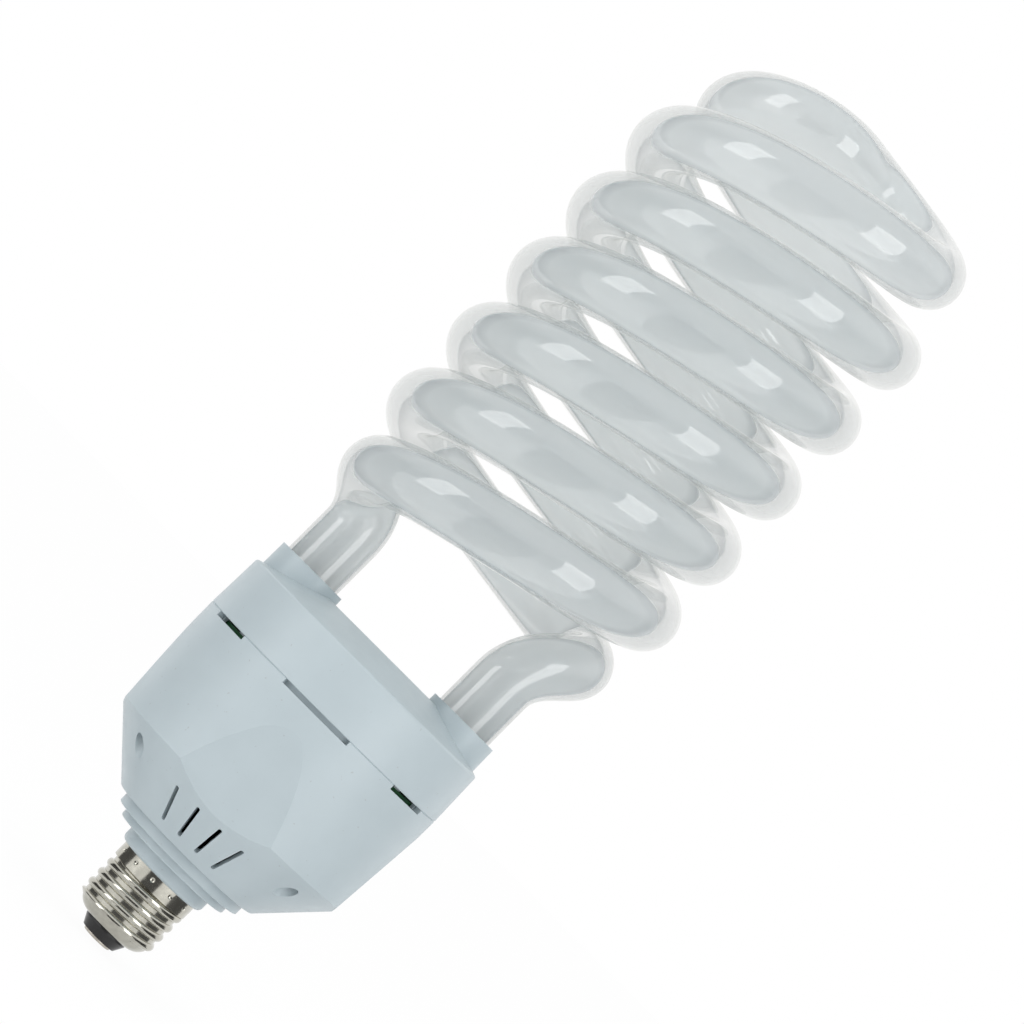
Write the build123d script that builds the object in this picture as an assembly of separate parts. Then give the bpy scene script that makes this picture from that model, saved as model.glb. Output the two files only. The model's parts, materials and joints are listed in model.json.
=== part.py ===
from build123d import *
import os
from math import cos, radians, sin, sqrt

# Compact fluorescent bulb: a double spiral tube on a ballast housing with a screw cap.
# Millimetres. +Z runs from the cap to the top of the spiral, -Y is the front with its vents,
# and the origin is the middle of the centre contact's flat face.

# Discharge tube
tube_diameter = 19.0
spiral_radius = 42.9
turn_spacing = 24.73
spiral_start = 34.0
spiral_end = 1033.0
spiral_foot_z = 144.6
spiral_lean = 2.13
lean_pivot_z = 224.8
crown_rise = 15.4
crown_heading = 50.0
crown_entry_handle = 29.8
crown_middle_handle = 30.8
leg_inset = 13.7
leg_overhang = 1.5
leg_bend_z = 129.0
leg_handle = 14.0
spiral_entry_handle = 18.5
end_rounding = 3.0

# Screw cap
contact_radius = 4.7
contact_thickness = 0.8
contact_edge = 0.35
insulator_face_radius = 5.7
insulator_rim_radius = 7.25
insulator_flange_radius = 9.0
insulator_height = 3.4
insulator_top_z = 8.0
lead_hole_radius = 1.0
shell_wall = 0.5
shell_round_end = 3.5
shell_end_run = 1.4
shell_end_rise = 1.3
thread_root_radius = 12.2
thread_crest_radius = 13.2
thread_pitch = 3.63
thread_top_z = 20.2
ridge_width = 2.6
band_radius = 13.2
band_top_z = 25.0
dent_count = 12
dent_radius = 1.1
dent_depth = 0.3
dent_drop = 1.6

# Ballast housing
wall = 2.0
neck_clearance = 0.1
neck_length = 3.7
neck_wall = 2.0
ring_radii = (14.9, 19.5, 22.5)
ring_tops = (29.4, 31.8, 35.1)
ring_edge = 1.6
cone_foot_radius = 25.4
shoulder_step = 0.4
shoulder_z = 53.6
seam_radius = 43.4
seam_z = 88.8
seam_edge = 0.25
small_edge = 0.4
front_facet_depth = 4.1
front_facet_tilt = 8.3
side_facet_depth = 2.3
side_facet_tilt = 4.6
facet_foot_drop = 3.7
vent_count = 4
vent_step = 13.0
vent_width = 1.25
vent_foot_gap = 2.6
vent_facet_gap = 1.6
seam_slot_height = 1.5
front_slot_width = 32.4
side_slot_angle = 52.0
side_slot_width = 22.0

# Tube holder
rim_inset = 0.5
rim_z = 105.6
rim_edge = 0.9
plateau_radius = 22.0
plateau_z = 111.9
collar_height = 2.3
collar_radius = 11.3
collar_draft = 0.2
sleeve_length = 15.7
sleeve_bore_clearance = 0.6
cement_height = 6.0
cement_drop = 1.0
cement_clearance = 0.03
lip_depth = 4.0
lip_wall = 1.0
lip_clearance = 0.2
lip_root = 0.4
lip_root_height = 2.5

# Screws that hold the housing's halves and the board together
screw_inset = 6.0
screw_angle = 49.4
screw_shaft_radius = 1.2
screw_head_radius = 2.3
screw_head_height = 1.8
screw_length = 28.0
well_radius = 2.6
well_top_z = 68.0
boss_wall = 0.8
screw_clearance = 0.25
post_radius = 2.6
post_rib_width = 1.4
recess_width = 0.8

# Circuit board
board_clearance = 0.4
board_thickness = 1.6
board_drop = 0.6

# Parts on the board, each measured as it stands
bulk_capacitor_radius = 9.0
bulk_capacitor_length = 31.0
capacitor_edge = 1.0
capacitor_groove = 3.0
inductor_size = (24.0, 18.0, 20.0)
inductor_leg = 6.0
inductor_end = 5.0
winding_gap = 0.3
bobbin_wall = 0.8
ring_core_radius = 5.6
ring_core_hole = 2.9
ring_core_width = 4.6
driver_wire_radius = 0.45
driver_turns = (50, 70, 90, 110, 130, 200, 220, 240, 300, 320, 340)
transistor_body = (10.0, 4.4, 9.0)
transistor_tab = (10.0, 1.3, 15.5)
transistor_lead = (0.8, 0.5, 3.5)
resonant_capacitor_size = (20.0, 8.0, 14.0)
blocking_capacitor_size = (10.0, 5.0, 11.0)
film_capacitor_edge = 0.8
choke_radius = 4.8
choke_height = 11.0
choke_flange = 1.2
diode_size = (1.3, 5.0)
resistor_radius = 1.2
resistor_length = 6.6
disc_size = (3.0, 2.2)
thermistor_size = (5.0, 3.0)
fuse_size = (1.6, 9.0)
wire_radius = 0.6
wire_bend = 2.5
wire_neck_offset = 7.5
wire_weld_z = 15.0
wire_neck_top_z = 32.0
wire_spread_z = 50.0
lead_radius = 0.4
lead_bend = 1.0
lead_inset = 2.0
pin_size = (0.9, 0.9, 5.0)
pin_inset = 5.7
pin_spread = 4.0

# Places on the board, as shares of its radius, to the right of its middle and behind it
bulk_capacitor_place = (-0.41, -0.10)
inductor_place = (0.36, 0.15)
driver_place = (-0.51, 0.43)
transistor_places = ((-0.10, 0.69), (0.25, 0.69))
resonant_capacitor_place = (0.0, -0.69)
blocking_capacitor_place = (0.445, -0.61)
choke_place = (-0.44, -0.62)
diode_places = ((-0.23, -0.42), (-0.115, -0.42), (0.0, -0.42), (0.115, -0.42))
resistor_places = ((0.25, -0.39), (0.355, -0.39), (0.46, -0.39))
disc_places = ((-0.23, 0.31), (-0.23, 0.44))
thermistor_place = (0.81, 0.0)
fuse_place = (-0.79, 0.0)
live_wire_place = (-0.08, -0.20)
neutral_wire_place = (-0.08, 0.23)

front = -90.0
back = 90.0

board_top_z = seam_z - board_drop
board_bottom_z = board_top_z - board_thickness
rim_radius = seam_radius - rim_inset
shoulder_radius = seam_radius - shoulder_step
collar_top_z = plateau_z + collar_height
screw_circle_radius = shoulder_radius - screw_inset
facet_foot_z = shoulder_z - facet_foot_drop
cone_slope = (shoulder_z - ring_tops[2]) / (shoulder_radius - cone_foot_radius)
vent_inner_radius = cone_foot_radius + vent_foot_gap
vent_outer_radius = shoulder_radius - front_facet_depth - vent_facet_gap
tube_radius = tube_diameter / 2
collar_x = seam_radius - leg_inset
sleeve_bottom_z = collar_top_z - sleeve_length
leg_end_z = sleeve_bottom_z - leg_overhang
bore_radius = tube_radius + sleeve_bore_clearance
shell_bore = thread_root_radius - shell_wall
band_bore = band_radius - shell_wall
insulator_edge_z = contact_thickness + insulator_height
shell_end_top_z = insulator_edge_z + shell_round_end
neck_radius = band_bore - neck_clearance
neck_bottom_z = band_top_z - neck_length
neck_bore = neck_radius - neck_wall
cavity_seam_radius = seam_radius - wall
lip_outer = cavity_seam_radius - lip_clearance
lip_inner = lip_outer - lip_wall
side_taper = (seam_radius - shoulder_radius) / (seam_z - shoulder_z)
lip_step_in = lip_depth * side_taper
board_radius = lip_inner - lip_step_in - board_clearance
boss_radius = well_radius + boss_wall


def polar(radius, angle, z=0.0):
    """Place at an angle round the lamp's axis."""
    return Vector(radius * cos(radians(angle)), radius * sin(radians(angle)), z)


def turned(outline, roundings=()):
    """Solid of revolution from (radius, height) points; each rounding is a corner and its radius."""
    profile = make_face(Polyline(*outline, close=True))
    for corner, radius in roundings:
        vertex = profile.vertices().sort_by_distance(Vector(*corner))[0]
        profile = fillet(vertex, radius)
    return revolve(Plane.XZ * profile, Axis.Z)


def sector(inner, outer, bottom, top, middle, width):
    """Piece of a ring between two radii and two heights, centred on an angle."""
    outline = Polyline((inner, bottom), (outer, bottom), (outer, top), (inner, top), close=True)
    piece = revolve(Plane.XZ * make_face(outline), Axis.Z, revolution_arc=width)
    return Rot(0, 0, middle - width / 2) * piece


def rod(radius, x, y, bottom, top):
    """Upright round bar between two heights."""
    height = top - bottom
    return Pos(x, y, bottom) * Cylinder(radius, height, align=(Align.CENTER, Align.CENTER, Align.MIN))


def hanging_box(size, x, y):
    """Box under the circuit board."""
    return Pos(x, y, board_bottom_z) * Box(*size, align=(Align.CENTER, Align.CENTER, Align.MAX))


def wire(points, radius, bend):
    """Round wire along straight runs with rounded bends."""
    path = FilletPolyline(*points, radius=bend)
    section = Plane(origin=path @ 0, z_dir=path % 0) * Circle(radius)
    return sweep(section, path=path)


def screw_places():
    """Angles of the four screws, two at the front and two at the back."""
    return [side + turn for side in (front, back) for turn in (-screw_angle, screw_angle)]


def seam_slots():
    """Middle angle and width of each slot in the housing's upper edge."""
    slots = []
    for side in (front, back):
        slots.append((side - side_slot_angle, side_slot_width))
        slots.append((side, front_slot_width))
        slots.append((side + side_slot_angle, side_slot_width))
    return slots


def tube_half(side):
    """Centre line of one leg, its spiral and its half of the crown, as four edges."""
    lean = Pos(0, 0, lean_pivot_z) * Rot(0, -spiral_lean, 0)
    pitch = 2 * turn_spacing
    start_z = spiral_foot_z + pitch * spiral_start / 360
    end_z = spiral_foot_z + pitch * spiral_end / 360
    foot = Pos(0, 0, start_z - lean_pivot_z) * Rot(0, 0, side + spiral_start)
    coil = lean * foot * Helix(pitch, end_z - start_z, spiral_radius)
    top_z = end_z + crown_rise
    middle = lean * Pos(0, 0, top_z - lean_pivot_z)
    heading = middle * Rot(0, 0, crown_heading + side - 180.0)
    apex = heading.position
    apex_handle = (heading * Pos(-crown_middle_handle, 0, 0)).position
    leg = polar(collar_x, side)
    leg_end = leg + Vector(0, 0, leg_end_z)
    leg_bend = leg + Vector(0, 0, leg_bend_z)
    straight = Line(leg_end, leg_bend)
    bend = Bezier(
        leg_bend,
        leg_bend + Vector(0, 0, leg_handle),
        coil @ 0 - (coil % 0) * spiral_entry_handle,
        coil @ 0,
    )
    crown = Bezier(coil @ 1, coil @ 1 + (coil % 1) * crown_entry_handle, apex_handle, apex)
    return [straight, bend, coil, crown]


def discharge_tube():
    """Sealed glass tube: two legs and two spirals that meet in the crown."""
    halves = []
    for side in (180.0, 0.0):
        path = Wire(tube_half(side))
        section = Plane(origin=path @ 0, z_dir=path % 0) * Circle(tube_radius)
        halves.append(sweep(section, path=path))
    tube = halves[0] + halves[1]
    ends = tube.edges().filter_by(GeomType.CIRCLE).group_by(Axis.Z)[0]
    return fillet(ends, end_rounding)


def screw_shell():
    """Rolled metal shell of the screw cap, with its thread and the dents that hold the neck."""
    core = Polyline(
        (insulator_rim_radius + cement_clearance, insulator_edge_z + shell_wall),
        (insulator_rim_radius + cement_clearance, insulator_edge_z),
    )
    outer_middle = (thread_root_radius - shell_end_run, insulator_edge_z + shell_end_rise)
    inner_middle = (shell_bore - shell_end_run + 0.1, insulator_edge_z + shell_end_rise + 0.4)
    round_end = ThreePointArc(core @ 1, outer_middle, (thread_root_radius, shell_end_top_z))
    side = Polyline(
        (thread_root_radius, shell_end_top_z),
        (thread_root_radius, thread_top_z),
        (band_radius, thread_top_z + shell_wall),
        (band_radius, band_top_z),
        (band_bore, band_top_z),
        (band_bore, thread_top_z + 2 * shell_wall),
        (shell_bore, thread_top_z + shell_wall),
        (shell_bore, shell_end_top_z),
    )
    inside = ThreePointArc((shell_bore, shell_end_top_z), inner_middle, core @ 0)
    shell = revolve(Plane.XZ * make_face(core + round_end + side + inside), Axis.Z)
    envelope = turned((
        (0, insulator_edge_z),
        (insulator_flange_radius, insulator_edge_z),
        (thread_crest_radius + shell_wall, shell_end_top_z + shell_wall),
        (thread_crest_radius + shell_wall, thread_top_z + shell_wall / 2),
        (0, thread_top_z + shell_wall / 2),
    ))
    ridge = thread_ridge(insulator_edge_z + 1.0, thread_top_z)
    shell += ridge & envelope
    for number in range(dent_count):
        place = polar(band_radius + dent_radius - dent_depth, number * 360 / dent_count)
        shell -= Pos(place.X, place.Y, band_top_z - dent_drop) * Sphere(dent_radius)
    return shell


def thread_ridge(bottom, top):
    """Rounded helical ridge of the cap's thread."""
    path = Pos(0, 0, bottom) * Helix(thread_pitch, top - bottom, thread_root_radius)
    depth = shell_wall / 2
    crest = ThreePointArc((-depth, -ridge_width / 2),
                          (thread_crest_radius - thread_root_radius, 0),
                          (-depth, ridge_width / 2))
    profile = make_face(crest + Line(crest @ 1, crest @ 0))
    plane = Plane(origin=path @ 0, x_dir=(1, 0, 0), z_dir=path % 0)
    return sweep(plane * profile, path=path, is_frenet=True)


def cap_insulator():
    """Black glass body that parts the centre contact from the shell."""
    rim = insulator_rim_radius
    return turned((
        (lead_hole_radius, contact_thickness),
        (insulator_face_radius, contact_thickness),
        (rim, insulator_edge_z - 0.6),
        (rim, insulator_edge_z + shell_wall),
        (insulator_flange_radius, insulator_edge_z + shell_wall + 1.2),
        (insulator_flange_radius, insulator_top_z),
        (lead_hole_radius, insulator_top_z),
    ))


def centre_contact():
    """Flat disc that meets the socket's spring."""
    return turned((
        (0, 0),
        (contact_radius, 0),
        (contact_radius, contact_thickness),
        (0, contact_thickness),
    ), roundings=(((contact_radius, 0), contact_edge),))


def on_board(place):
    """X and Y of a place that is given as shares of the board's radius."""
    return place[0] * board_radius, place[1] * board_radius


def facet_cutters(inset):
    """Tools that take the four tilted flats off the housing's side, or off its cavity."""
    cutters = []
    reach = 2 * seam_radius
    for depth, tilt, angles in ((front_facet_depth, front_facet_tilt, (front, back)),
                                (side_facet_depth, side_facet_tilt, (0.0, 180.0))):
        block = Box(reach, 2 * reach, 2 * reach, align=(Align.MIN, Align.CENTER, Align.CENTER))
        distance = shoulder_radius - depth - inset
        for angle in angles:
            cutters.append(Rot(0, 0, angle) * Pos(distance, 0, facet_foot_z) * Rot(0, tilt, 0) * block)
    return cutters


def housing_body():
    """Lower housing without its openings: rings, cone and faceted side; and its cavity."""
    ring_1, ring_2, ring_3 = ring_radii
    top_1, top_2, top_3 = ring_tops
    outer = turned((
        (0, neck_bottom_z),
        (neck_radius, neck_bottom_z),
        (neck_radius, band_top_z),
        (ring_1, band_top_z),
        (ring_1, top_1),
        (ring_2, top_1),
        (ring_2, top_2),
        (ring_3, top_2),
        (ring_3, top_3),
        (cone_foot_radius, top_3),
        (shoulder_radius, shoulder_z),
        (seam_radius, seam_z - seam_edge),
        (seam_radius - seam_edge, seam_z),
        (0, seam_z),
    ), roundings=(
        ((ring_1, band_top_z), ring_edge),
        ((ring_2, top_1), small_edge),
        ((ring_3, top_2), small_edge),
        ((cone_foot_radius, top_3), small_edge),
    ))
    for cutter in facet_cutters(0.0):
        outer -= cutter
    lift = wall * sqrt(1 + cone_slope * cone_slope)
    cavity = turned((
        (0, neck_bottom_z),
        (neck_bore, neck_bottom_z),
        (neck_bore, top_1),
        (ring_3 - wall, top_3 + wall / 2),
        (cone_foot_radius, top_3 + lift),
        (shoulder_radius - wall, shoulder_z + lift - wall * cone_slope),
        (cavity_seam_radius, seam_z),
        (0, seam_z),
    ))
    for cutter in facet_cutters(wall):
        cavity -= cutter
    return outer, cavity


def vent_cutter(angle):
    """Slot along the cone's slope, with round ends."""
    rise_radius = (vent_inner_radius + vent_outer_radius) / 2
    rise_z = ring_tops[2] + (rise_radius - cone_foot_radius) * cone_slope
    length = (vent_outer_radius - vent_inner_radius) * sqrt(1 + cone_slope * cone_slope)
    along = Vector(1, 0, cone_slope).normalized()
    out_of_cone = Vector(cone_slope, 0, -1).normalized()
    plane = Plane(origin=(rise_radius, 0, rise_z), x_dir=along, z_dir=out_of_cone)
    return Rot(0, 0, angle) * extrude(plane * SlotOverall(length, vent_width), amount=2 * wall, both=True)


def ballast_housing():
    """Lower housing as a shell with bosses, screw wells, vents and seam slots."""
    outer, cavity = housing_body()
    housing = outer - cavity
    for angle in screw_places():
        place = polar(screw_circle_radius, angle)
        boss = rod(boss_radius, place.X, place.Y, ring_tops[2], board_bottom_z)
        housing += boss & outer
    for angle in screw_places():
        place = polar(screw_circle_radius, angle)
        housing -= rod(well_radius, place.X, place.Y, ring_tops[2], well_top_z)
        housing -= rod(screw_shaft_radius + screw_clearance, place.X, place.Y, well_top_z, seam_z)
    for number in range(vent_count):
        housing -= vent_cutter(front + (number - (vent_count - 1) / 2) * vent_step)
    for middle, width in seam_slots():
        housing -= sector(cavity_seam_radius - 2, seam_radius + 2, seam_z - seam_slot_height,
                          seam_z + 1, middle, width)
    return housing


def tube_holder():
    """Upper cover: shallow cone, two collars with sleeves, screw posts and a locating lip."""
    cover = turned((
        (0, seam_z),
        (seam_radius - seam_edge, seam_z),
        (seam_radius, seam_z + seam_edge),
        (rim_radius, rim_z),
        (plateau_radius, plateau_z),
        (0, plateau_z),
    ), roundings=(((rim_radius, rim_z), rim_edge),))
    roof_z = rim_z - wall
    cavity = turned((
        (0, seam_z),
        (cavity_seam_radius, seam_z),
        (rim_radius - wall, roof_z),
        (plateau_radius, plateau_z - wall),
        (0, plateau_z - wall),
    ))
    lip = turned((
        (lip_inner - lip_step_in, seam_z - lip_depth),
        (lip_outer - lip_step_in, seam_z - lip_depth),
        (lip_outer, seam_z),
        (cavity_seam_radius + lip_root, seam_z),
        (cavity_seam_radius + lip_root, seam_z + lip_root_height),
        (lip_inner, seam_z + lip_root_height - lip_wall),
    ))
    for side in (front, back):
        for turn in (-side_slot_angle, side_slot_angle):
            lip -= sector(lip_inner - 1, lip_outer + 1, seam_z - lip_depth - 1, seam_z,
                          side + turn, side_slot_width - 2)
    holder = cover - cavity + lip
    for x in (-collar_x, collar_x):
        base = Pos(x, 0, sleeve_bottom_z) * Circle(collar_radius + collar_draft)
        top = Pos(x, 0, collar_top_z) * Circle(collar_radius)
        holder += loft([base, top])
    for angle in screw_places():
        place = polar(screw_circle_radius, angle)
        holder += rod(post_radius, place.X, place.Y, board_top_z, roof_z + wall / 2)
        rib_length = cavity_seam_radius + wall / 2 - screw_circle_radius
        rib_bottom = seam_z + lip_root_height
        rib = Box(rib_length, post_rib_width, roof_z + wall / 2 - rib_bottom,
                  align=(Align.MIN, Align.CENTER, Align.MIN))
        holder += Rot(0, 0, angle) * Pos(screw_circle_radius, 0, rib_bottom) * rib
    for x in (-collar_x, collar_x):
        holder -= rod(bore_radius, x, 0, sleeve_bottom_z - 1, collar_top_z + 1)
    for angle in screw_places():
        place = polar(screw_circle_radius, angle)
        holder -= rod(screw_shaft_radius + 0.05, place.X, place.Y, board_top_z - 1,
                      well_top_z + screw_length + 0.5)
    return holder


def tube_cement():
    """Ring of cement between each leg and its sleeve."""
    top = collar_top_z - cement_drop
    bottom = top - cement_height
    rings = []
    for x in (-collar_x, collar_x):
        outer = rod(bore_radius - cement_clearance, x, 0, bottom, top)
        inner = rod(tube_radius + cement_clearance, x, 0, bottom - 1, top + 1)
        rings.append(outer - inner)
    return Compound(children=rings)


def housing_screws():
    """Four long screws with crossed recesses in their heads."""
    screws = []
    for angle in screw_places():
        place = polar(screw_circle_radius, angle)
        head = rod(screw_head_radius, place.X, place.Y, well_top_z - screw_head_height, well_top_z)
        shaft = rod(screw_shaft_radius, place.X, place.Y, well_top_z, well_top_z + screw_length)
        slot = Box(2 * screw_head_radius * 0.7, recess_width, screw_head_height)
        recess = Pos(place.X, place.Y, well_top_z - screw_head_height) * (slot + Rot(0, 0, 90) * slot)
        screws.append(head + shaft - recess)
    return Compound(children=screws)


def circuit_board():
    """Round board on the screw bosses, with clearance holes for the screws."""
    board = rod(board_radius, 0, 0, board_bottom_z, board_top_z)
    for angle in screw_places():
        place = polar(screw_circle_radius, angle)
        board -= rod(screw_shaft_radius + screw_clearance, place.X, place.Y, board_bottom_z - 1,
                     board_top_z + 1)
    return board


def bulk_capacitor():
    """Upright electrolytic capacitor with its crimped groove."""
    radius = bulk_capacitor_radius
    x, y = on_board(bulk_capacitor_place)
    can = rod(radius, x, y, board_bottom_z - bulk_capacitor_length, board_bottom_z)
    can = fillet(can.edges().group_by(Axis.Z)[0], capacitor_edge)
    groove = Pos(x, y, board_bottom_z - capacitor_groove) * Torus(radius + 0.3, 0.8)
    return can - groove


def inductor_cores():
    """Two E-shaped ferrite halves that meet in the middle of the winding."""
    long, deep, high = inductor_size
    middle_x, middle_y = on_board(inductor_place)
    halves = []
    for side in (-1, 1):
        block = Box(long / 2, deep, high)
        window = (high - 2 * inductor_end * 0.6 - inductor_leg) / 2
        shift = (inductor_leg + window) / 2
        for z in (-shift, shift):
            block -= Pos(-side * inductor_end, 0, z) * Box(long / 2, deep + 1, window)
        x = middle_x + side * (long / 4 + cement_clearance)
        halves.append(Pos(x, middle_y, board_bottom_z - high / 2) * block)
    return halves


def inductor_bobbin():
    """Plastic former round the middle legs of the cores."""
    long, deep, high = inductor_size
    window = (high - 2 * inductor_end * 0.6 - inductor_leg) / 2
    inner = (inductor_leg + 2 * winding_gap, deep + 2 * winding_gap)
    length = long - 2 * inductor_end - 2 * winding_gap
    flange_high = inductor_leg + 2 * window - 2 * winding_gap
    sleeve = Box(length, inner[1] + 2 * bobbin_wall, inner[0] + 2 * bobbin_wall)
    for side in (-1, 1):
        sleeve += Pos(side * (length - bobbin_wall) / 2, 0, 0) * Box(
            bobbin_wall, inner[1] + 2 * window - 1.0, flange_high)
    sleeve -= Box(length + 1, inner[1], inner[0])
    x, y = on_board(inductor_place)
    return Pos(x, y, board_bottom_z - high / 2) * sleeve


def inductor_winding():
    """Wound block of enamelled wire on the bobbin."""
    long, deep, high = inductor_size
    window = (high - 2 * inductor_end * 0.6 - inductor_leg) / 2
    length = long - 2 * inductor_end - 2 * winding_gap - 2 * bobbin_wall - 0.1
    inside_y = deep + 2 * winding_gap + 2 * bobbin_wall + 0.1
    inside_z = inductor_leg + 2 * winding_gap + 2 * bobbin_wall + 0.1
    thick = window - 2 * winding_gap - bobbin_wall - 0.5
    block = Box(length, inside_y + 2 * thick, inside_z + 2 * thick)
    block = fillet(block.edges().filter_by(Axis.X), thick * 0.7)
    block -= Box(length + 1, inside_y, inside_z)
    x, y = on_board(inductor_place)
    return Pos(x, y, board_bottom_z - high / 2) * block


def driver_core():
    """Small ferrite ring that stands on the board."""
    x, y = on_board(driver_place)
    ring = Cylinder(ring_core_radius, ring_core_width) - Cylinder(ring_core_hole, ring_core_width + 1)
    z = board_bottom_z - ring_core_radius - 2 * driver_wire_radius - 0.3
    return Pos(x, y, z) * Rot(0, 90, 0) * ring


def driver_windings():
    """Turns of wire round the ring core, as closed rectangular loops."""
    x, y = on_board(driver_place)
    z = board_bottom_z - ring_core_radius - 2 * driver_wire_radius - 0.3
    gap = driver_wire_radius + 0.05
    middle = (ring_core_radius + ring_core_hole) / 2
    tall = ring_core_radius - ring_core_hole + 2 * gap
    wide = ring_core_width + 2 * gap
    path = Plane.XZ * RectangleRounded(wide, tall, driver_wire_radius)
    edge_path = Wire(path.edges())
    section = Plane(origin=edge_path @ 0, z_dir=edge_path % 0) * Circle(driver_wire_radius)
    loop = sweep(section, path=edge_path)
    turns = []
    for angle in driver_turns:
        turns.append(Pos(x, y, z) * Rot(angle, 0, 0) * Pos(0, 0, middle) * loop)
    return Compound(children=turns)


def transistor(place):
    """Power transistor with its tab and three legs."""
    x, y = on_board(place)
    wide, thick, high = transistor_body
    leg_long = transistor_lead[2]
    top = board_bottom_z - leg_long
    body = Pos(x, y, top) * Box(wide, thick, high, align=(Align.CENTER, Align.CENTER, Align.MAX))
    tab_y = y + (thick - transistor_tab[1]) / 2
    tab = Pos(x, tab_y, top) * Box(*transistor_tab, align=(Align.CENTER, Align.CENTER, Align.MAX))
    tab -= Pos(x, tab_y, top - transistor_tab[2] + 3.2) * Rot(90, 0, 0) * Cylinder(1.7, 4)
    device = body + tab
    for step in (-2.54, 0, 2.54):
        device += Pos(x + step, y, board_bottom_z) * Box(*transistor_lead[:2], leg_long + 0.5,
                                                         align=(Align.CENTER, Align.CENTER, Align.MAX))
    return device


def film_capacitor(size, place):
    """Dipped film capacitor with rounded edges."""
    block = hanging_box(size, *on_board(place))
    edges = block.edges().filter_by(Axis.Z) + block.edges().group_by(Axis.Z)[0]
    return fillet(edges, film_capacitor_edge)


def choke_core():
    """Drum core of the input choke."""
    x, y = on_board(choke_place)
    low = board_bottom_z - choke_height
    waist = choke_radius * 0.5
    drum = rod(waist, x, y, low, board_bottom_z)
    drum += rod(choke_radius, x, y, low, low + choke_flange)
    drum += rod(choke_radius, x, y, board_bottom_z - choke_flange, board_bottom_z)
    return drum


def choke_winding():
    """Wire wound between the drum's flanges."""
    x, y = on_board(choke_place)
    low = board_bottom_z - choke_height + choke_flange + 0.05
    high = board_bottom_z - choke_flange - 0.05
    waist = choke_radius * 0.5 + 0.05
    return rod(choke_radius - 0.5, x, y, low, high) - rod(waist, x, y, low - 1, high + 1)


def lying_body(size, place):
    """Small round part that lies on the board along Y."""
    radius, length = size
    x, y = on_board(place)
    body = Pos(x, y, board_bottom_z - radius) * Rot(90, 0, 0) * Cylinder(radius, length)
    return fillet(body.edges().filter_by(GeomType.CIRCLE), radius * 0.3)


def rectifier_diodes():
    """Four diodes side by side."""
    return Compound(children=[lying_body(diode_size, place) for place in diode_places])


def resistors():
    """Three resistors with thicker end caps."""
    end = resistor_length / 2
    edge = resistor_radius / 4
    cap = end * 0.6
    waist = resistor_radius * 0.83
    bodies = []
    for place in resistor_places:
        x, y = on_board(place)
        body = turned((
            (0, -end),
            (resistor_radius - edge, -end),
            (resistor_radius, -end + edge),
            (resistor_radius, -cap),
            (waist, -cap + edge),
            (waist, cap - edge),
            (resistor_radius, cap),
            (resistor_radius, end - edge),
            (resistor_radius - edge, end),
            (0, end),
        ))
        bodies.append(Pos(x, y, board_bottom_z - resistor_radius) * Rot(90, 0, 0) * body)
    return Compound(children=bodies)


def disc_part(size, place, along):
    """Flat round part standing on edge, its faces square to X or Y."""
    radius, thickness = size
    x, y = on_board(place)
    tilt = Rot(0, 90, 0) if along == "X" else Rot(90, 0, 0)
    body = Pos(x, y, board_bottom_z - radius) * tilt * Cylinder(radius, thickness)
    return fillet(body.edges().filter_by(GeomType.CIRCLE), thickness * 0.35)


def ceramic_capacitors():
    """Two small ceramic discs."""
    return Compound(children=[disc_part(disc_size, place, "Y") for place in disc_places])


def wire_pins():
    """Four square pins on the board that the tube's leads are wrapped on."""
    pin = Box(*pin_size, align=(Align.CENTER, Align.CENTER, Align.MIN))
    pin_x = collar_x - pin_inset
    return Compound(children=[Pos(x, y, board_top_z) * pin
                              for x in (-pin_x, pin_x) for y in (-pin_spread, pin_spread)])


def tube_leads():
    """Four bare leads from the tube's ends to the pins."""
    leads = []
    pin_face = collar_x - pin_inset + pin_size[0] / 2
    lead_x = collar_x - lead_inset
    level = board_top_z + pin_size[2] / 2
    for side in (-1, 1):
        for y in (-pin_spread, pin_spread):
            points = ((side * lead_x, y, leg_end_z), (side * lead_x, y, level), (side * pin_face, y, level))
            leads.append(wire(points, lead_radius, lead_bend))
    return Compound(children=leads)


def live_wire():
    """Supply wire from the centre contact to the board."""
    x, y = on_board(live_wire_place)
    points = (
        (0, 0, contact_thickness),
        (0, 0, wire_neck_top_z),
        (x, y, wire_spread_z),
        (x, y, board_bottom_z),
    )
    return wire(points, wire_radius, wire_bend)


def neutral_wire():
    """Supply wire from the screw shell to the board."""
    x, y = on_board(neutral_wire_place)
    points = (
        (shell_bore - 0.1, 0, wire_weld_z),
        (wire_neck_offset, 0, wire_weld_z),
        (wire_neck_offset, 0, wire_neck_top_z),
        (x, y, wire_spread_z),
        (x, y, board_bottom_z),
    )
    return wire(points, wire_radius, wire_bend)


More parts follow.
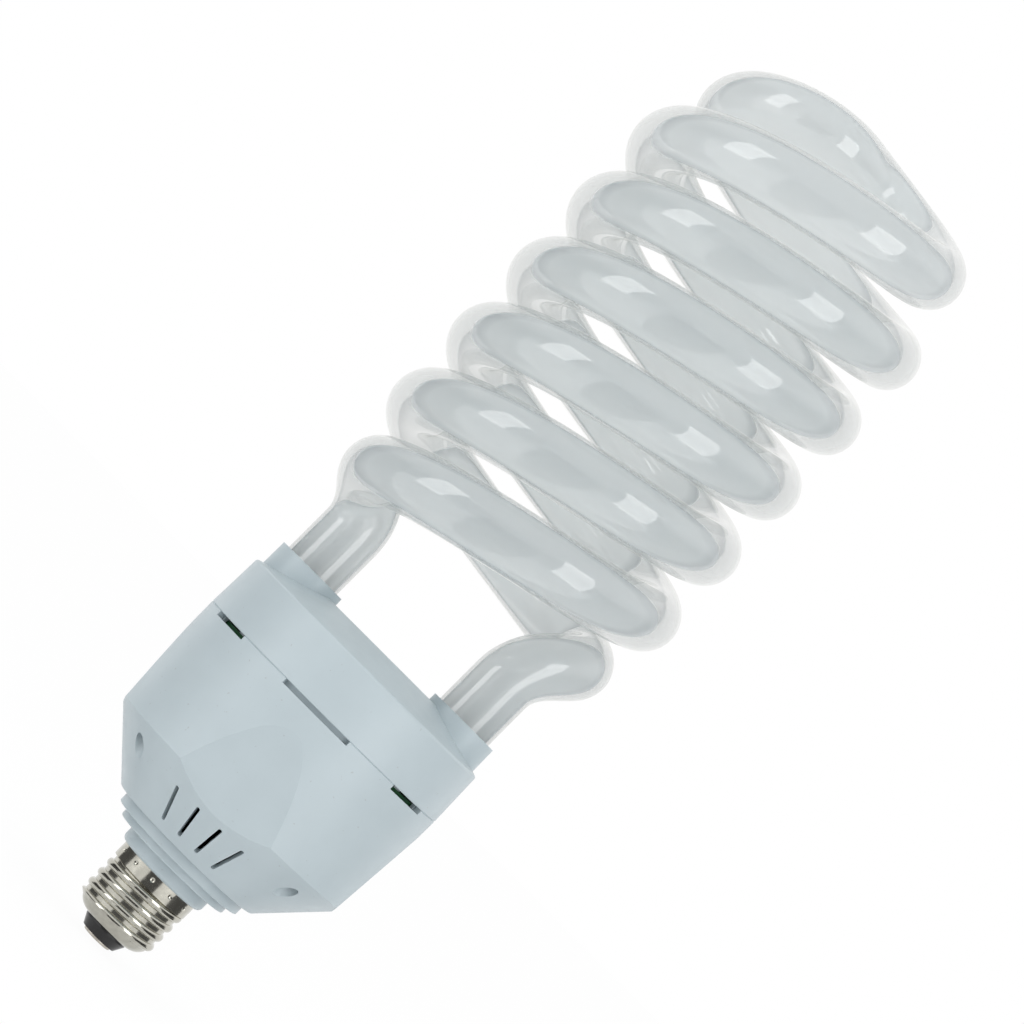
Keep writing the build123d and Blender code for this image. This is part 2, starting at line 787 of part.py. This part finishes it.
def build():
    """Every piece of the lamp by its node's name."""
    core_left, core_right = inductor_cores()
    return {
        "discharge_tube": discharge_tube(),
        "tube_holder": tube_holder(),
        "ballast_housing": ballast_housing(),
        "screw_shell": screw_shell(),
        "cap_insulator": cap_insulator(),
        "centre_contact": centre_contact(),
        "tube_cement": tube_cement(),
        "housing_screws": housing_screws(),
        "circuit_board": circuit_board(),
        "bulk_capacitor": bulk_capacitor(),
        "inductor_core_left": core_left,
        "inductor_core_right": core_right,
        "inductor_bobbin": inductor_bobbin(),
        "inductor_winding": inductor_winding(),
        "driver_core": driver_core(),
        "driver_windings": driver_windings(),
        "transistor_left": transistor(transistor_places[0]),
        "transistor_right": transistor(transistor_places[1]),
        "resonant_capacitor": film_capacitor(resonant_capacitor_size, resonant_capacitor_place),
        "blocking_capacitor": film_capacitor(blocking_capacitor_size, blocking_capacitor_place),
        "choke_core": choke_core(),
        "choke_winding": choke_winding(),
        "rectifier_diodes": rectifier_diodes(),
        "resistors": resistors(),
        "ceramic_capacitors": ceramic_capacitors(),
        "thermistor": disc_part(thermistor_size, thermistor_place, "X"),
        "fuse": lying_body(fuse_size, fuse_place),
        "wire_pins": wire_pins(),
        "tube_leads": tube_leads(),
        "live_wire": live_wire(),
        "neutral_wire": neutral_wire(),
    }


def main():
    os.makedirs("parts", exist_ok=True)
    for name, shape in build().items():
        export_step(shape, f"parts/{name}.step")


main()
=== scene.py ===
import json
import math

import bpy
from mathutils import Matrix, Vector


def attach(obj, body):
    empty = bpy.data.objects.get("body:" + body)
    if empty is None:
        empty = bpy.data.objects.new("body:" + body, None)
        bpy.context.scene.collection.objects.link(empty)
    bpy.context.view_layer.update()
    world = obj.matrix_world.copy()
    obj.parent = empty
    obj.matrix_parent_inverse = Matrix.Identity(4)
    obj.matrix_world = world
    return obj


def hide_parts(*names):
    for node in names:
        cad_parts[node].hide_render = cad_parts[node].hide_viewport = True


# Compact fluorescent bulb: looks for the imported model. Metres, in the model's own frame.

MM = 0.001

# Camera, from the photograph: the lamp's axis runs from the lower left to the upper right; degrees
CAMERA_DISTANCE = 1.168
CAMERA_HEIGHT = 0.112
CAMERA_SWING = 1.75
CAMERA_ROLL = 45.0
AIM = Vector((-0.0021, 0.0, 0.1649))
PIXELS_PER_METRE = 3597.0
IMAGE_PIXELS = 1024
SENSOR_MM = 36.0
CLIP_END = 100.0

# Discharge tube's centre line, as in the solid model; the spiral's ends, lean and heading in degrees
TUBE_RADIUS = 9.48 * MM
SPIRAL_RADIUS = 42.9 * MM
TURN_SPACING = 24.73 * MM
SPIRAL_START = 34.0
SPIRAL_END = 1033.0
SPIRAL_FOOT_Z = 144.6 * MM
SPIRAL_LEAN = 2.13
LEAN_PIVOT_Z = 224.8 * MM
CROWN_RISE = 15.4 * MM
CROWN_HEADING = 50.0
CROWN_ENTRY_HANDLE = 29.8 * MM
CROWN_MIDDLE_HANDLE = 30.8 * MM
LEG_X = 29.7 * MM
LEG_END_Z = 97.05 * MM
LEG_BEND_Z = 129.0 * MM
LEG_HANDLE = 14.0 * MM
SPIRAL_ENTRY_HANDLE = 18.5 * MM
RING_SIDES = 48
RING_STEP = 2.0 * MM
LEG_STEPS = 10
BEND_STEPS = 30
CROWN_STEPS = 36
DIRECTION_TURNS = 0.0005

# Noise levels at which a mottled colour or roughness reaches its two ends, and the roughness's finer scale
MOTTLE_LOW = 0.3
MOTTLE_HIGH = 0.7
ROUGH_SCALE = 1.7

# Tube glass: its lining, the light that comes through, a painted shade towards the edge and its clear rims.
# Each stop is how far the surface turns away and the share that it has there.
TUBE_DARK = (0.51, 0.60, 0.67)
TUBE_LIGHT = (0.56, 0.65, 0.71)
TUBE_THROUGH = (0.967, 0.975, 0.965, 1.0)
TUBE_TRANSLUCENCY = 0.84
CLOUD_SCALE = 45.0
CLOUD_DETAIL = 3.0
CLOUD_LOW = 0.35
CLOUD_HIGH = 0.65
TUBE_PAINTED_SHADE = (0.30, 0.33, 0.35, 1.0)
PAINTED_SHADE_STOPS = ((0.42, 0.0), (0.54, 0.42))
RIM_TINT = (0.98, 0.98, 0.97, 1.0)
RIM_STOPS = ((0.54, 0.0), (0.56, 0.62), (0.72, 0.66), (1.0, 0.75))
GLOSS_TINT = (0.97, 0.97, 0.96, 1.0)
GLOSS_ROUGHNESS = (0.0, 0.01)
GLOSS_SCALE = 160.0
WAVE_SCALE = 40.0
WAVE_DETAIL = 1.0
WAVE_STRENGTH = 0.03
WAVE_DISTANCE = 0.05 * MM
GLASS_IOR = 1.7

# Housing plastic: its colours in eight-bit values, its specks and its fine grain
PLASTIC_DARK = (178, 190, 195)
PLASTIC_LIGHT = (182, 194, 199)
PLASTIC_SCALE = 70.0
PLASTIC_SPECK = (168, 176, 180)
SPECK_STOPS = ((0.74, 0.0), (0.80, 1.0))
SPECK_SCALE = 900.0
SPECK_DETAIL = 1.0
PLASTIC_ROUGHNESS = (0.34, 0.42)
PLASTIC_ROUGH_SCALE = 240.0
GRAIN_SCALE = 2600.0
GRAIN_DETAIL = 2.0
GRAIN_STRENGTH = 0.12
GRAIN_DISTANCE = 0.02 * MM
PLASTIC_IOR = 1.46

# Room: stops from its front to its back, and from its floor to its ceiling, with their brightness
STUDIO_FRONT = 0.74
STUDIO_SIDE = 0.1
ROOM_STOPS = ((0.0, STUDIO_FRONT), (0.45, STUDIO_SIDE), (0.68, STUDIO_SIDE), (0.78, 1.0))
CEILING_STOPS = ((0.58, 0.0), (0.78, 1.0))

# Floor: half its side, its drop below the lamp, its colour, its glow and half the width over which its
# mirrored glow fades in beneath the lamp
FLOOR_HALF = 6.0
FLOOR_DROP = 1.0 * MM
FLOOR_COLOUR = (0.92, 0.92, 0.92, 1.0)
FLOOR_GLOW = 0.95
FLOOR_FADE = 0.03

# Dark cards: the spans that they cover around the lamp, in degrees from its front to the right, the flat
# ones' near and far edge and the upright ones' height
CARD_SPANS = ((-20.0, 20.0), (66.0, 118.0), (-118.0, -76.0))
CARD_GREY = 0.05
CARD_NEAR = 0.05
CARD_FAR = 1.3
CARD_HEIGHT = 0.5

# Soft boxes: their distance from the point that they face
BOX_DISTANCE = 1.0
BOX_AIM = Vector((0, 0, 0.2))

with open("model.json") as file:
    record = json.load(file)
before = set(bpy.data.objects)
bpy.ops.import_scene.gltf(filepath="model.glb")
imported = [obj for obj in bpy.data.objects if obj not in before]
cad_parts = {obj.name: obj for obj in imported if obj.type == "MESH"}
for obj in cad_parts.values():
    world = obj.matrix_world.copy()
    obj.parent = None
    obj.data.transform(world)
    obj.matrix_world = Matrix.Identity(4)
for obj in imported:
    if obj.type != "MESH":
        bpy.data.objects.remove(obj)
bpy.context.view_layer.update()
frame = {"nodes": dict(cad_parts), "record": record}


# node helpers

def new_material(name):
    """Empty node material with its output."""
    material = bpy.data.materials.new(name)
    material.use_nodes = True
    tree = material.node_tree
    tree.nodes.clear()
    output = tree.nodes.new("ShaderNodeOutputMaterial")
    return material, tree, output


def add(tree, kind, **inputs):
    """Node with some of its inputs set; underscores in a name stand for spaces."""
    node = tree.nodes.new(kind)
    for name, value in inputs.items():
        node.inputs[name.replace("_", " ")].default_value = value
    return node


def join(tree, source, target):
    """Link from an output to an input."""
    tree.links.new(source, target)


def noise(tree, scale, detail=4.0):
    """Noise in the object's own coordinates."""
    place = tree.nodes.new("ShaderNodeTexCoord")
    node = add(tree, "ShaderNodeTexNoise", Scale=scale, Detail=detail)
    join(tree, place.outputs["Object"], node.inputs["Vector"])
    return node.outputs["Fac"]


def ramp(tree, source, stops):
    """Colour ramp with the given (position, colour) stops."""
    node = tree.nodes.new("ShaderNodeValToRGB")
    elements = node.color_ramp.elements
    while len(elements) < len(stops):
        elements.new(0.5)
    for element, (position, colour) in zip(elements, stops):
        element.position = position
        element.color = (*colour, 1.0)
    join(tree, source, node.inputs["Fac"])
    return node.outputs["Color"]


def grey(value):
    """Grey as a colour."""
    return (value, value, value)


def grey_ramp(tree, source, stops):
    """Ramp with the given (position, brightness) stops."""
    return ramp(tree, source, [(place, grey(level)) for place, level in stops])


def mottled(tree, source, low, high):
    """Ramp between two colours, by a noise."""
    return ramp(tree, source, ((MOTTLE_LOW, low), (MOTTLE_HIGH, high)))


def rough_noise(tree, scale, roughness):
    """Roughness that varies between two values."""
    return mottled(tree, noise(tree, scale), grey(roughness[0]), grey(roughness[1]))


def srgb(red, green, blue):
    """Linear colour from the eight-bit values seen on a screen."""
    def linear(value):
        value /= 255.0
        return value / 12.92 if value <= 0.04045 else ((value + 0.055) / 1.055) ** 2.4
    return tuple(linear(v) for v in (red, green, blue))


def bump(tree, height, strength, distance):
    """Bump from a height."""
    node = add(tree, "ShaderNodeBump", Strength=strength, Distance=distance)
    join(tree, height, node.inputs["Height"])
    return node.outputs["Normal"]


def surface(name, colour, variation=0.06, scale=300.0, roughness=(0.4, 0.5), bump_scale=900.0,
            bump_strength=0.15, bump_distance=0.05 * MM, **settings):
    """Material with a mottled colour, a varied roughness and a fine bump."""
    material, tree, output = new_material(name)
    shader = add(tree, "ShaderNodeBsdfPrincipled", **settings)
    darker = tuple(c * (1 - variation) for c in colour)
    lighter = tuple(min(c * (1 + variation), 1.0) for c in colour)
    join(tree, mottled(tree, noise(tree, scale), darker, lighter), shader.inputs["Base Color"])
    join(tree, rough_noise(tree, scale * ROUGH_SCALE, roughness), shader.inputs["Roughness"])
    join(tree, bump(tree, noise(tree, bump_scale), bump_strength, bump_distance), shader.inputs["Normal"])
    join(tree, shader.outputs["BSDF"], output.inputs["Surface"])
    return material


def mix_shaders(tree, share, first, second):
    """Two shaders mixed by a number or by an output."""
    mix = tree.nodes.new("ShaderNodeMixShader")
    if isinstance(share, float):
        mix.inputs["Fac"].default_value = share
    else:
        join(tree, share, mix.inputs["Fac"])
    join(tree, first, mix.inputs[1])
    join(tree, second, mix.inputs[2])
    return mix.outputs["Shader"]


def larger(tree, first, second):
    """The larger of two outputs."""
    node = tree.nodes.new("ShaderNodeMath")
    node.operation = "MAXIMUM"
    join(tree, first, node.inputs[0])
    join(tree, second, node.inputs[1])
    return node.outputs[0]


def times(tree, first, second):
    """Product of an output and a number or another output."""
    node = tree.nodes.new("ShaderNodeMath")
    node.operation = "MULTIPLY"
    join(tree, first, node.inputs[0])
    if isinstance(second, float):
        node.inputs[1].default_value = second
    else:
        join(tree, second, node.inputs[1])
    return node.outputs[0]


# materials

def tube_glass():
    """Glossy glass over a pale lining that lets much light through, with a painted shade where it turns away
    from the camera; its rims are clear.
    """
    material, tree, output = new_material("tube_glass")
    cloud = noise(tree, CLOUD_SCALE, CLOUD_DETAIL)
    lining = add(tree, "ShaderNodeBsdfDiffuse")
    join(tree, ramp(tree, cloud, ((CLOUD_LOW, TUBE_DARK), (CLOUD_HIGH, TUBE_LIGHT))), lining.inputs["Color"])
    through = add(tree, "ShaderNodeBsdfTranslucent", Color=TUBE_THROUGH)
    body = mix_shaders(tree, TUBE_TRANSLUCENCY, lining.outputs["BSDF"], through.outputs["BSDF"])
    edge = add(tree, "ShaderNodeLayerWeight", Blend=0.5)
    # Painted shade: a dark grey mixed in where the surface turns away from the camera, just inside the clear
    # rims
    painted_shade = add(tree, "ShaderNodeBsdfDiffuse", Color=TUBE_PAINTED_SHADE)
    painted_shade_share = grey_ramp(tree, edge.outputs["Facing"], PAINTED_SHADE_STOPS)
    body = mix_shaders(tree, painted_shade_share, body, painted_shade.outputs["BSDF"])
    clear = add(tree, "ShaderNodeBsdfTransparent", Color=RIM_TINT)
    rim = grey_ramp(tree, edge.outputs["Facing"], RIM_STOPS)
    wall = mix_shaders(tree, rim, body, clear.outputs["BSDF"])
    gloss = add(tree, "ShaderNodeBsdfGlossy", Color=GLOSS_TINT)
    join(tree, rough_noise(tree, GLOSS_SCALE, GLOSS_ROUGHNESS), gloss.inputs["Roughness"])
    waves = noise(tree, WAVE_SCALE, WAVE_DETAIL)
    join(tree, bump(tree, waves, WAVE_STRENGTH, WAVE_DISTANCE), gloss.inputs["Normal"])
    mirror = add(tree, "ShaderNodeFresnel", IOR=GLASS_IOR)
    geometry = tree.nodes.new("ShaderNodeNewGeometry")
    outside = add(tree, "ShaderNodeMapRange", To_Min=1.0, To_Max=0.0)
    join(tree, geometry.outputs["Backfacing"], outside.inputs["Value"])
    share = times(tree, mirror.outputs["Fac"], outside.outputs["Result"])
    glass = mix_shaders(tree, share, wall, gloss.outputs["BSDF"])
    join(tree, glass, output.inputs["Surface"])
    return material


def housing_plastic():
    """Satin moulded plastic with faint specks."""
    material, tree, output = new_material("housing_plastic")
    shader = add(tree, "ShaderNodeBsdfPrincipled", IOR=PLASTIC_IOR)
    mottle = mottled(tree, noise(tree, PLASTIC_SCALE), srgb(*PLASTIC_DARK), srgb(*PLASTIC_LIGHT))
    specks = grey_ramp(tree, noise(tree, SPECK_SCALE, SPECK_DETAIL), SPECK_STOPS)
    mix = tree.nodes.new("ShaderNodeMix")
    mix.data_type = "RGBA"
    join(tree, specks, mix.inputs["Factor"])
    join(tree, mottle, mix.inputs["A"])
    mix.inputs["B"].default_value = (*srgb(*PLASTIC_SPECK), 1.0)
    join(tree, mix.outputs["Result"], shader.inputs["Base Color"])
    join(tree, rough_noise(tree, PLASTIC_ROUGH_SCALE, PLASTIC_ROUGHNESS), shader.inputs["Roughness"])
    grain = noise(tree, GRAIN_SCALE, GRAIN_DETAIL)
    join(tree, bump(tree, grain, GRAIN_STRENGTH, GRAIN_DISTANCE), shader.inputs["Normal"])
    join(tree, shader.outputs["BSDF"], output.inputs["Surface"])
    return material


def metal(name, colour, roughness):
    """Bare or plated metal with light wear."""
    return surface(name, colour, variation=0.08, scale=500.0, roughness=roughness, bump_scale=700.0,
                   bump_strength=0.08, bump_distance=0.03 * MM, Metallic=1.0)


def cap_materials():
    """Materials of the lamp cap."""
    return [
        metal("cap_nickel", srgb(190, 188, 178), (0.10, 0.18)),
        surface("cap_glass", srgb(14, 14, 15), variation=0.3, scale=200.0, roughness=(0.05, 0.12),
                bump_scale=300.0, bump_strength=0.05, IOR=1.6),
        metal("contact_metal", srgb(206, 200, 190), (0.2, 0.35)),
    ]


def inner_materials():
    """Materials of the board and its parts, the wires, the screws and the cement."""
    return [
        surface("cement", srgb(214, 212, 202), variation=0.08, scale=600.0, roughness=(0.8, 0.9),
                bump_scale=1500.0, bump_strength=0.4),
        metal("screw_steel", srgb(180, 180, 182), (0.25, 0.4)),
        surface("board_laminate", srgb(36, 92, 52), variation=0.15, scale=260.0, roughness=(0.3, 0.45)),
        surface("capacitor_sleeve", srgb(34, 38, 52), variation=0.1, roughness=(0.25, 0.35)),
        surface("ferrite", srgb(64, 64, 68), variation=0.15, scale=700.0, roughness=(0.5, 0.65),
                bump_scale=1600.0, bump_strength=0.3),
        surface("bobbin_plastic", srgb(62, 58, 54), variation=0.1, scale=400.0, roughness=(0.45, 0.55)),
        surface("enamelled_copper", srgb(172, 98, 52), variation=0.15, scale=500.0, roughness=(0.25, 0.35),
                bump_scale=1200.0, bump_strength=0.4, Metallic=0.7),
        surface("transistor_epoxy", srgb(38, 38, 40), variation=0.15, scale=900.0, roughness=(0.5, 0.6)),
        surface("film_lacquer", srgb(128, 62, 44), variation=0.1, scale=200.0, roughness=(0.15, 0.25)),
        surface("diode_epoxy", srgb(42, 42, 44), variation=0.12, scale=900.0, roughness=(0.4, 0.5)),
        surface("resistor_lacquer", srgb(206, 184, 146), variation=0.08, scale=500.0, roughness=(0.2, 0.3)),
        surface("disc_ceramic", srgb(204, 132, 62), variation=0.1, roughness=(0.35, 0.45)),
        surface("fuse_ceramic", srgb(222, 220, 212), variation=0.05, roughness=(0.15, 0.25)),
        metal("tinned_wire", srgb(204, 204, 202), (0.25, 0.4)),
        surface("wire_sleeve", srgb(46, 46, 50), variation=0.1, scale=600.0, roughness=(0.4, 0.5)),
    ]


def make_materials():
    """One material for each slot of the record, by the slot's name."""
    made = [tube_glass(), housing_plastic()] + cap_materials() + inner_materials()
    # A name that the frame already uses gets a dot and a number, which the slot's name lacks
    return {material.name.split(".")[0]: material for material in made}


# discharge tube

def bezier(start, handle_a, handle_b, end, count):
    """Points of a cubic curve, without its last one."""
    points = []
    for step in range(count):
        t = step / count
        u = 1 - t
        points.append(start * u ** 3 + handle_a * 3 * u * u * t + handle_b * 3 * u * t * t + end * t ** 3)
    return points


def half_centre_line(side):
    """One leg, its spiral and its half of the crown."""
    lean = Matrix.Translation((0, 0, LEAN_PIVOT_Z)) @ Matrix.Rotation(math.radians(-SPIRAL_LEAN), 4, "Y")
    pitch = 2 * TURN_SPACING
    first = SPIRAL_START / 360
    last = SPIRAL_END / 360
    top_z = SPIRAL_FOOT_Z + pitch * last + CROWN_RISE - LEAN_PIVOT_Z

    def coil(turns):
        angle = side + 2 * math.pi * turns
        local = Vector((SPIRAL_RADIUS * math.cos(angle), SPIRAL_RADIUS * math.sin(angle),
                        SPIRAL_FOOT_Z - LEAN_PIVOT_Z + pitch * turns))
        return lean @ local

    def direction(turns):
        return (coil(turns + DIRECTION_TURNS) - coil(turns - DIRECTION_TURNS)).normalized()

    leg = Vector((LEG_X * math.cos(side), LEG_X * math.sin(side), 0))
    leg_end = leg + Vector((0, 0, LEG_END_Z))
    leg_bend = leg + Vector((0, 0, LEG_BEND_Z))
    apex = lean @ Vector((0, 0, top_z))
    heading = math.radians(CROWN_HEADING) + side - math.pi
    apex_handle = lean @ Vector((-CROWN_MIDDLE_HANDLE * math.cos(heading),
                                 -CROWN_MIDDLE_HANDLE * math.sin(heading), top_z))
    points = [leg_end.lerp(leg_bend, step / LEG_STEPS) for step in range(LEG_STEPS)]
    points += bezier(leg_bend, leg_bend + Vector((0, 0, LEG_HANDLE)),
                     coil(first) - direction(first) * SPIRAL_ENTRY_HANDLE, coil(first), BEND_STEPS)
    steps = int((last - first) * 2 * math.pi * SPIRAL_RADIUS / RING_STEP)
    points += [coil(first + (last - first) * step / steps) for step in range(steps)]
    points += bezier(coil(last), coil(last) + direction(last) * CROWN_ENTRY_HANDLE, apex_handle, apex,
                     CROWN_STEPS)
    return points, apex


def tube_mesh(points, radius, name):
    """Closed round tube along a centre line, with flat ends."""
    count = len(points)
    tangents = [(points[min(i + 1, count - 1)] - points[max(i - 1, 0)]).normalized() for i in range(count)]
    normal = tangents[0].orthogonal().normalized()
    verts = []
    for index in range(count):
        normal = (normal - tangents[index] * normal.dot(tangents[index])).normalized()
        other = tangents[index].cross(normal)
        for side in range(RING_SIDES):
            angle = 2 * math.pi * side / RING_SIDES
            verts.append(points[index] + (normal * math.cos(angle) + other * math.sin(angle)) * radius)
    faces = []
    for index in range(count - 1):
        for side in range(RING_SIDES):
            a = index * RING_SIDES + side
            b = index * RING_SIDES + (side + 1) % RING_SIDES
            faces.append((a, b, b + RING_SIDES, a + RING_SIDES))
    faces.append(tuple(reversed(range(RING_SIDES))))
    faces.append(tuple(range((count - 1) * RING_SIDES, count * RING_SIDES)))
    mesh = bpy.data.meshes.new(name)
    mesh.from_pydata(verts, [], faces)
    mesh.update()
    for polygon in mesh.polygons:
        polygon.use_smooth = len(polygon.vertices) == 4
    return mesh


def make_tube(material):
    """Smooth glass tube in place of the solid one."""
    first, apex = half_centre_line(math.pi)
    second, apex = half_centre_line(0.0)
    points = first + [apex] + list(reversed(second))
    tube = bpy.data.objects.new("glass_tube", tube_mesh(points, TUBE_RADIUS, "glass_tube"))
    bpy.context.scene.collection.objects.link(tube)
    tube.data.materials.append(material)
    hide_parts("discharge_tube")
    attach(tube, "root")


# stage, light and camera

def make_floor():
    """Pale floor that the camera sees as white, as reflections do behind the lamp; it keeps a shadow."""
    corners = [(x * FLOOR_HALF, y * FLOOR_HALF, 0) for x, y in ((-1, -1), (1, -1), (1, 1), (-1, 1))]
    mesh = bpy.data.meshes.new("floor")
    mesh.from_pydata(corners, [], [(0, 1, 2, 3)])
    floor = bpy.data.objects.new("floor", mesh)
    floor.location = (0, 0, -FLOOR_DROP)
    bpy.context.scene.collection.objects.link(floor)
    material, tree, output = new_material("floor")
    diffuse = add(tree, "ShaderNodeBsdfDiffuse", Color=FLOOR_COLOUR)
    glow = add(tree, "ShaderNodeEmission", Color=(1.0, 1.0, 1.0, 1.0), Strength=1.0)
    place = tree.nodes.new("ShaderNodeTexCoord")
    split = tree.nodes.new("ShaderNodeSeparateXYZ")
    join(tree, place.outputs["Object"], split.inputs["Vector"])
    behind = add(tree, "ShaderNodeMapRange", From_Min=-FLOOR_FADE, From_Max=FLOOR_FADE)
    join(tree, split.outputs["Y"], behind.inputs["Value"])
    path = tree.nodes.new("ShaderNodeLightPath")
    mirrored = larger(tree, path.outputs["Is Glossy Ray"], path.outputs["Is Transmission Ray"])
    seen = larger(tree, path.outputs["Is Camera Ray"], times(tree, mirrored, behind.outputs["Result"]))
    share = times(tree, seen, FLOOR_GLOW)
    shown = mix_shaders(tree, share, diffuse.outputs["BSDF"], glow.outputs["Emission"])
    join(tree, shown, output.inputs["Surface"])
    mesh.materials.append(material)


def studio_level(tree, direction, stops):
    """Brightness along one axis of the room, from stops between its two ends."""
    across = add(tree, "ShaderNodeMapRange", From_Min=-1.0)
    join(tree, direction, across.inputs["Value"])
    return grey_ramp(tree, across.outputs["Result"], stops)


def make_world():
    """Room that is pale in front of the lamp, dim beside it and white behind and above it."""
    world = bpy.data.worlds.new("studio")
    bpy.context.scene.world = world
    world.use_nodes = True
    tree = world.node_tree
    tree.nodes.clear()
    output = tree.nodes.new("ShaderNodeOutputWorld")
    place = tree.nodes.new("ShaderNodeTexCoord")
    split = tree.nodes.new("ShaderNodeSeparateXYZ")
    join(tree, place.outputs["Generated"], split.inputs["Vector"])
    around = studio_level(tree, split.outputs["Y"], ROOM_STOPS)
    above = studio_level(tree, split.outputs["Z"], CEILING_STOPS)
    studio = add(tree, "ShaderNodeBackground", Strength=1.0)
    join(tree, larger(tree, around, above), studio.inputs["Color"])
    white = add(tree, "ShaderNodeBackground", Color=(1.0, 1.0, 1.0, 1.0), Strength=1.0)
    path = tree.nodes.new("ShaderNodeLightPath")
    seen = mix_shaders(tree, path.outputs["Is Camera Ray"], studio.outputs["Background"],
                       white.outputs["Background"])
    join(tree, seen, output.inputs["Surface"])


def soft_box(name, azimuth, elevation, width, height, power):
    """Rectangular lamp that faces the part; azimuth 0 is the front and runs to the right."""
    data = bpy.data.lights.new(name, "AREA")
    data.shape = "RECTANGLE"
    data.size = width
    data.size_y = height
    data.energy = power
    lamp = bpy.data.objects.new(name, data)
    round_angle = math.radians(azimuth)
    rise = math.radians(elevation)
    back = Vector((math.sin(round_angle) * math.cos(rise), -math.cos(round_angle) * math.cos(rise),
                   math.sin(rise)))
    lamp.location = BOX_AIM + back * BOX_DISTANCE
    lamp.rotation_mode = "QUATERNION"
    lamp.rotation_quaternion = (-back).to_track_quat("-Z", "Y")
    bpy.context.scene.collection.objects.link(lamp)


def make_lights():
    """Two tall soft boxes, on the left and on the right of the camera."""
    soft_box("soft_box_left", azimuth=-54.0, elevation=8.0, width=0.36, height=0.95, power=2.8)
    soft_box("soft_box_right", azimuth=46.0, elevation=10.0, width=0.42, height=1.2, power=4.0)


def dark_card(name, material, corners):
    """Flat dark card that only reflections show, as a dark streak in the bright metal."""
    mesh = bpy.data.meshes.new(name)
    mesh.from_pydata(corners, [], [(0, 1, 2, 3)])
    mesh.materials.append(material)
    card = bpy.data.objects.new(name, mesh)
    bpy.context.scene.collection.objects.link(card)
    card.visible_camera = False
    card.visible_diffuse = False
    card.visible_shadow = False


def make_cards():
    """A card on the floor and one upright behind it, in front of the lamp and on both its sides."""
    material = surface("dark_card", grey(CARD_GREY), roughness=(0.8, 0.9))
    for start, end in CARD_SPANS:
        angles = (math.radians(start), math.radians(end))
        edges = [Vector((math.sin(angle), -math.cos(angle), 0)) for angle in angles]
        near = [edge * CARD_NEAR for edge in edges]
        far = [edge * CARD_FAR for edge in edges]
        top = [point + Vector((0, 0, CARD_HEIGHT)) for point in far]
        dark_card("card_flat", material, [near[0], near[1], far[1], far[0]])
        dark_card("card_upright", material, [far[0], far[1], top[1], top[0]])


def make_camera():
    """Camera at the photograph's viewpoint, rolled so that the lamp lies on the diagonal."""
    data = bpy.data.cameras.new("camera")
    data.sensor_width = SENSOR_MM
    data.lens = SENSOR_MM * CAMERA_DISTANCE * PIXELS_PER_METRE / IMAGE_PIXELS
    data.clip_end = CLIP_END
    camera = bpy.data.objects.new("camera", data)
    swing = math.radians(CAMERA_SWING)
    camera.location = Vector((AIM.x + CAMERA_DISTANCE * math.sin(swing), -CAMERA_DISTANCE * math.cos(swing),
                              CAMERA_HEIGHT))
    look = (AIM - camera.location).normalized()
    camera.rotation_mode = "QUATERNION"
    roll = Matrix.Rotation(math.radians(CAMERA_ROLL), 3, look)
    upright = look.to_track_quat("-Z", "Y").to_matrix()
    camera.rotation_quaternion = (roll.inverted() @ upright).to_quaternion()
    bpy.context.scene.collection.objects.link(camera)
    bpy.context.scene.camera = camera


def dress_frame(materials):
    """Every carried-over node gets its slot's material."""
    slots = {entry["node"]: entry["material_slot"] for entry in frame["record"]["subparts"]}
    for name, node in frame["nodes"].items():
        node.data.materials.clear()
        node.data.materials.append(materials[slots[name]])


scene = bpy.context.scene
scene.view_settings.view_transform = "Standard"
materials = make_materials()
dress_frame(materials)
make_tube(materials["tube_glass"])
make_floor()
make_world()
make_lights()
make_cards()
make_camera()
